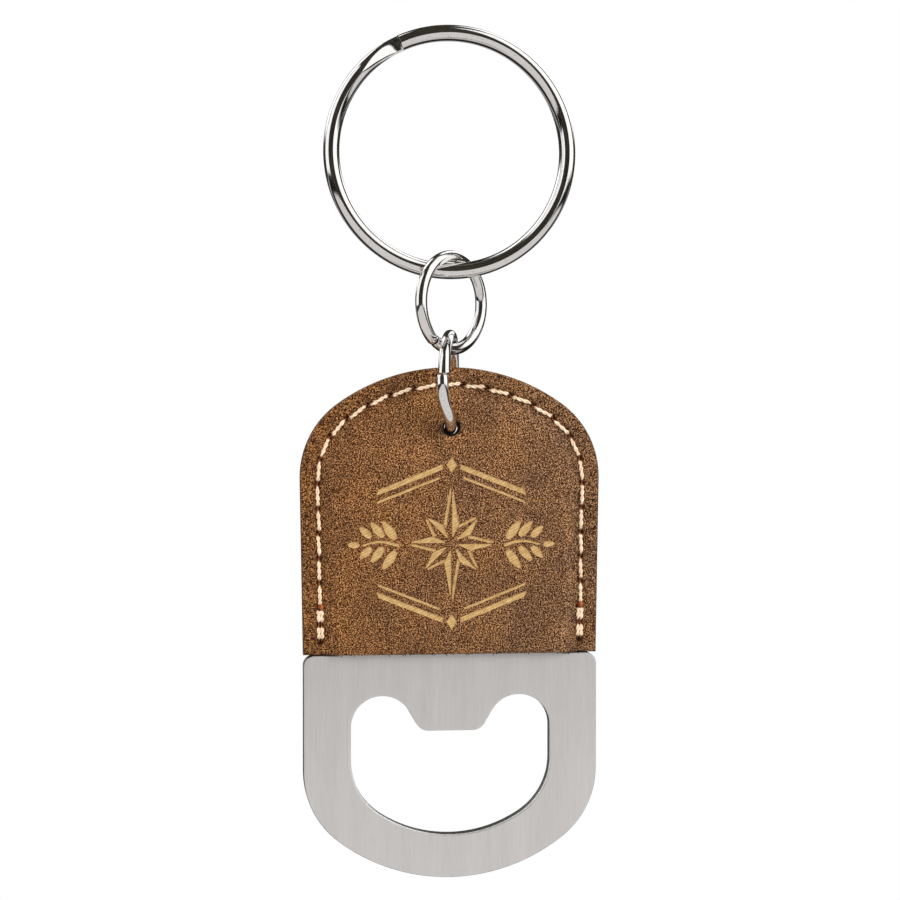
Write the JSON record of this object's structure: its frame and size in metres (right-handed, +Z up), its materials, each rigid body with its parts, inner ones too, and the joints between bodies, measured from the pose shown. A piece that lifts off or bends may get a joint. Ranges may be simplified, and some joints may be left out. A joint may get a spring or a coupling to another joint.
{
  "type": "keychain bottle opener",
  "caption": "Flat steel cap opener with a stitched leatherette sleeve, hung on jump rings from a two-turn split ring.",
  "frame": {"origin": "the inside top of the split ring, where it rests on the hook or finger that holds it", "axes": "+Z up along the hanging chain, +X to the right across the plate's width, the plate's front faces -Y"},
  "size_m": [0.0356, 0.012, 0.1008],
  "materials": {
    "nickel_ring": "bright nickel plate on steel wire",
    "nickel_links": "bright nickel plate on steel wire",
    "brushed_plate": "satin, brushed lengthwise, edges softened",
    "leatherette": "rustic brown, dark speckled, matt, with a laser-lightened motif on the front",
    "thread": "cream twisted polyester"
  },
  "bodies": {
    "split_ring_body": {"split_ring": "nickel_ring"},
    "middle_link_body": {"middle_link": "nickel_links"},
    "lower_link_body": {"lower_link": "nickel_links"},
    "opener_body": {"opener_plate": "brushed_plate", "front_leather_cover": "leatherette", "rear_leather_cover": "leatherette", "needle_thread": "thread", "bobbin_thread": "thread"}
  },
  "joints": [
    {"name": "middle_link_swing", "type": "hinge", "parent": "split_ring_body", "child": "middle_link_body", "pos_m": [0, 0, -0.02765], "axis": [1, 0, 0], "range_deg": [-120, 120]},
    {"name": "lower_link_swing", "type": "hinge", "parent": "middle_link_body", "child": "lower_link_body", "pos_m": [0, 0, -0.03658], "axis": [0.9272, 0.3746, 0], "range_deg": [-60, 60]},
    {"name": "opener_tilt", "type": "hinge", "parent": "lower_link_body", "child": "opener_body", "pos_m": [0, 0, -0.04561], "axis": [0, 1, 0], "range_deg": [-28, 28]}
  ]
}
